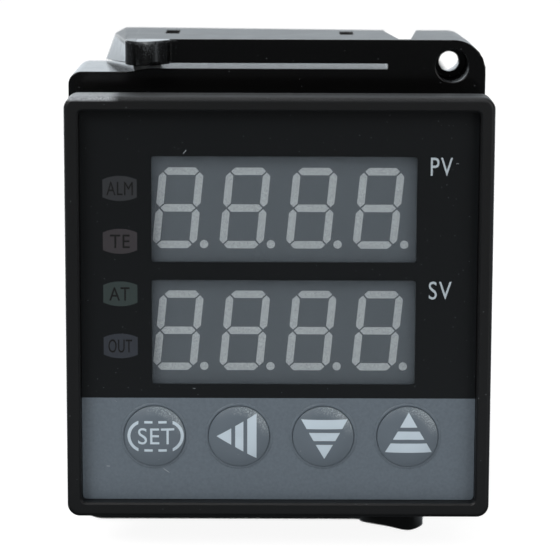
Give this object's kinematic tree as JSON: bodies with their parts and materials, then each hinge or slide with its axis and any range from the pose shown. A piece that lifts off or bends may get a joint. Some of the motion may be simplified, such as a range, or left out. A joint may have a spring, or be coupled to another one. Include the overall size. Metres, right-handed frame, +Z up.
{
  "type": "temperature controller",
  "caption": "Square panel-mount temperature controller with digit displays, round keys, rear screw terminals and a push-on sliding mounting bracket.",
  "frame": {"origin": "centre of the panel cut-out, in the plane where the flange meets the panel's front", "axes": "+X to the viewer's right as seen from the front, +Y back through the panel, +Z up"},
  "size_m": [0.0485, 0.0945, 0.0577],
  "materials": {
    "black_abs": "fine moulded texture, satin",
    "bracket_abs": "smooth moulded, glossy",
    "overlay_film": "printed polyester film, satin",
    "smoked_sheet": "clear smoked acrylic",
    "indicator_acrylic": "tinted acrylic",
    "led_epoxy": "diffused epoxy",
    "key_plastic": "satin",
    "plunger_plastic": "matt",
    "switch_plastic": "matt",
    "display_face": "matt printed face",
    "segment_epoxy": "diffused epoxy",
    "circuit_board": "green solder mask",
    "tinned_pins": "tin plated",
    "lamination_steel": "stacked sheets",
    "winding_tape": "yellow tape",
    "relay_plastic": "moulded",
    "capacitor_sleeve": "shrink sleeve",
    "varistor_coat": "dipped coat",
    "chip_plastic": "moulded epoxy",
    "resistor_lacquer": "lacquer",
    "socket_plastic": "moulded",
    "contact_brass": "tin-washed brass",
    "plated_steel": "zinc plated"
  },
  "bodies": {
    "controller": {"bezel": "black_abs", "case": "black_abs", "terminal_block": "black_abs", "front_overlay": "overlay_film", "display_lens": "smoked_sheet", "indicator_lenses": "indicator_acrylic", "indicator_leds": "led_epoxy", "key_switches": "switch_plastic", "display_pv": "display_face", "display_sv": "display_face", "segments_pv": "segment_epoxy", "segments_sv": "segment_epoxy", "display_board": "circuit_board", "main_board": "circuit_board", "power_board": "circuit_board", "board_headers": "tinned_pins", "transformer_core": "lamination_steel", "transformer_winding": "winding_tape", "output_relay": "relay_plastic", "alarm_relay": "relay_plastic", "filter_capacitors": "capacitor_sleeve", "small_capacitors": "capacitor_sleeve", "varistor": "varistor_coat", "voltage_regulator": "chip_plastic", "resistors": "resistor_lacquer", "controller_chip": "chip_plastic", "amplifier_chip": "chip_plastic", "driver_chip": "chip_plastic", "left_socket": "socket_plastic", "right_socket": "socket_plastic", "terminal_contacts": "contact_brass", "clamp_washers": "plated_steel", "terminal_screws": "plated_steel"},
    "set_key": {"key_set": "key_plastic", "plunger_set": "plunger_plastic"},
    "shift_key": {"key_shift": "key_plastic", "plunger_shift": "plunger_plastic"},
    "down_key": {"key_down": "key_plastic", "plunger_down": "plunger_plastic"},
    "up_key": {"key_up": "key_plastic", "plunger_up": "plunger_plastic"},
    "bracket": {"mounting_bracket": "bracket_abs"}
  },
  "joints": [
    {"name": "set_key_press", "type": "slide", "parent": "controller", "child": "set_key", "axis": [0, 1, 0], "range_m": [0, 0.0003], "stiffness_N_per_m": 1500},
    {"name": "shift_key_press", "type": "slide", "parent": "controller", "child": "shift_key", "axis": [0, 1, 0], "range_m": [0, 0.0003], "stiffness_N_per_m": 1500},
    {"name": "down_key_press", "type": "slide", "parent": "controller", "child": "down_key", "axis": [0, 1, 0], "range_m": [0, 0.0003], "stiffness_N_per_m": 1500},
    {"name": "up_key_press", "type": "slide", "parent": "controller", "child": "up_key", "axis": [0, 1, 0], "range_m": [0, 0.0003], "stiffness_N_per_m": 1500},
    {"name": "bracket_slide", "type": "slide", "parent": "controller", "child": "bracket", "axis": [0, 1, 0], "range_m": [-0.009, 0.0518]}
  ]
}
